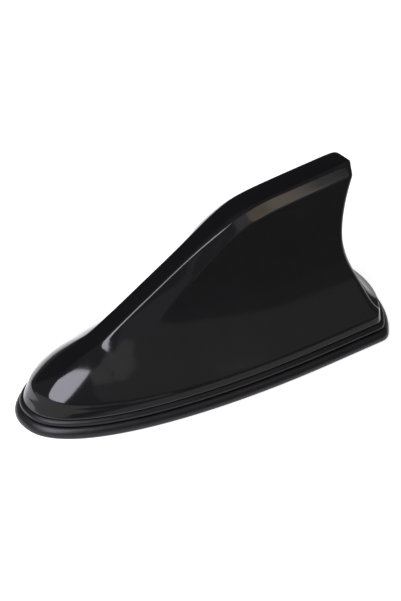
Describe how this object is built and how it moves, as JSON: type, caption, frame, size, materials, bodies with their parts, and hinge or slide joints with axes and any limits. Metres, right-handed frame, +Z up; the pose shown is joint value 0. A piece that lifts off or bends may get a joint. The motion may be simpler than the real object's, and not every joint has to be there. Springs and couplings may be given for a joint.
{
  "type": "shark fin aerial",
  "caption": "Stick-on car roof aerial: a gloss black fin-shaped cover with a swept crest and hollow rear edge, on a rubber gasket, with the aerial and amplifier boards inside.",
  "frame": {"origin": "centre of the footprint on the roof plane, under the gasket", "axes": "+X to the nose, along the length; +Y to the left; +Z up from the roof"},
  "size_m": [0.16, 0.072, 0.0647],
  "materials": {
    "fin_cover": "moulded gloss black ABS",
    "rubber_gasket": "moulded satin black EPDM rubber",
    "base_plate": "moulded black ABS",
    "adhesive_pad": "grey acrylic foam tape",
    "lead_grommet": "moulded black rubber",
    "cover_screws": "zinc-plated steel",
    "amplifier_board": "green solder-masked glass-fibre board",
    "board_screws": "zinc-plated steel",
    "aerial_board": "green solder-masked glass-fibre board",
    "aerial_track": "etched copper",
    "shield_can": "pressed tin-plated steel",
    "amplifier_chip": "moulded epoxy",
    "lead_socket": "gold-plated brass",
    "matching_coil": "wound ferrite bobbin",
    "capacitors": "fired ceramic",
    "resistors": "glazed ceramic"
  },
  "bodies": {
    "root": {"fin_cover": "fin_cover", "rubber_gasket": "rubber_gasket", "base_plate": "base_plate", "adhesive_pad": "adhesive_pad", "lead_grommet": "lead_grommet", "cover_screws": "cover_screws", "amplifier_board": "amplifier_board", "board_screws": "board_screws", "aerial_board": "aerial_board", "aerial_track": "aerial_track", "shield_can": "shield_can", "amplifier_chip": "amplifier_chip", "lead_socket": "lead_socket", "matching_coil": "matching_coil", "capacitors": "capacitors", "resistors": "resistors"}
  },
  "joints": []
}
